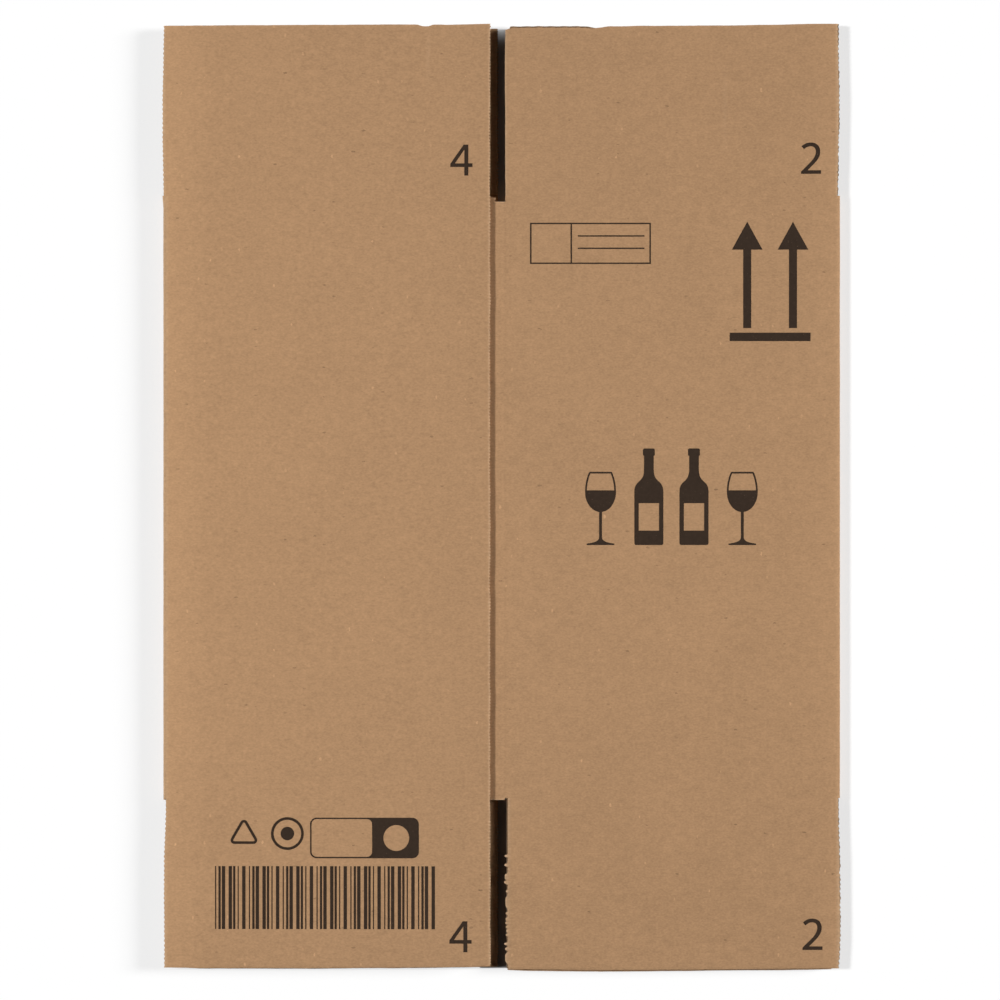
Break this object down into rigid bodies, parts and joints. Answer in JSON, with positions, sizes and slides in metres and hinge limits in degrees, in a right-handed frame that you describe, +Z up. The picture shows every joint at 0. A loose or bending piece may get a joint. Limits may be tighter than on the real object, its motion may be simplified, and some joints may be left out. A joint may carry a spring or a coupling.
{
  "type": "wine shipping carton",
  "caption": "Corrugated shipping carton for wine bottles, glued at its side joint and lying knocked down flat, with top and bottom flaps that fold out on their scores.",
  "frame": {"origin": "centre of the flat carton's outline, on the surface that it lies on", "axes": "+X to the right seen from the side with the glued joint, +Y from the bottom flaps to the top flaps, +Z up out of that side"},
  "size_m": [0.42, 0.586, 0.0114],
  "materials": {
    "kraft_board": "matte",
    "print_ink": "matte"
  },
  "bodies": {
    "sleeve": {"sleeve": "kraft_board"},
    "front_left_top_flap": {"front_left_top_flap": "kraft_board"},
    "front_left_bottom_flap": {"front_left_bottom_flap": "kraft_board"},
    "front_right_top_flap": {"front_right_top_flap": "kraft_board"},
    "front_right_bottom_flap": {"front_right_bottom_flap": "kraft_board"},
    "back_left_top_flap": {"back_left_top_flap": "kraft_board"},
    "back_left_bottom_flap": {"back_left_bottom_flap": "kraft_board"},
    "back_right_top_flap": {"back_right_top_flap": "kraft_board"},
    "back_right_bottom_flap": {"back_right_bottom_flap": "kraft_board"}
  },
  "joints": [
    {"name": "front_left_top_flap_fold", "type": "hinge", "parent": "sleeve", "child": "front_left_top_flap", "pos_m": [-0.10608, 0.187, 0.00973], "axis": [0.9999, 0, 0.0173], "range_deg": [0, 175]},
    {"name": "front_left_bottom_flap_fold", "type": "hinge", "parent": "sleeve", "child": "front_left_bottom_flap", "pos_m": [-0.10608, -0.187, 0.00973], "axis": [-0.9999, 0, -0.0173], "range_deg": [0, 175]},
    {"name": "front_right_top_flap_fold", "type": "hinge", "parent": "sleeve", "child": "front_right_top_flap", "pos_m": [0.1, 0.187, 0.008], "axis": [1, 0, 0], "range_deg": [0, 175]},
    {"name": "front_right_bottom_flap_fold", "type": "hinge", "parent": "sleeve", "child": "front_right_bottom_flap", "pos_m": [0.1, -0.187, 0.008], "axis": [-1, 0, 0], "range_deg": [0, 175]},
    {"name": "back_left_top_flap_fold", "type": "hinge", "parent": "sleeve", "child": "back_left_top_flap", "pos_m": [-0.1, 0.187, 0], "axis": [-1, 0, 0], "range_deg": [0, 175]},
    {"name": "back_left_bottom_flap_fold", "type": "hinge", "parent": "sleeve", "child": "back_left_bottom_flap", "pos_m": [-0.1, -0.187, 0], "axis": [1, 0, 0], "range_deg": [0, 175]},
    {"name": "back_right_top_flap_fold", "type": "hinge", "parent": "sleeve", "child": "back_right_top_flap", "pos_m": [0.1, 0.187, 0], "axis": [-1, 0, 0], "range_deg": [0, 175]},
    {"name": "back_right_bottom_flap_fold", "type": "hinge", "parent": "sleeve", "child": "back_right_bottom_flap", "pos_m": [0.1, -0.187, 0], "axis": [1, 0, 0], "range_deg": [0, 175]}
  ]
}
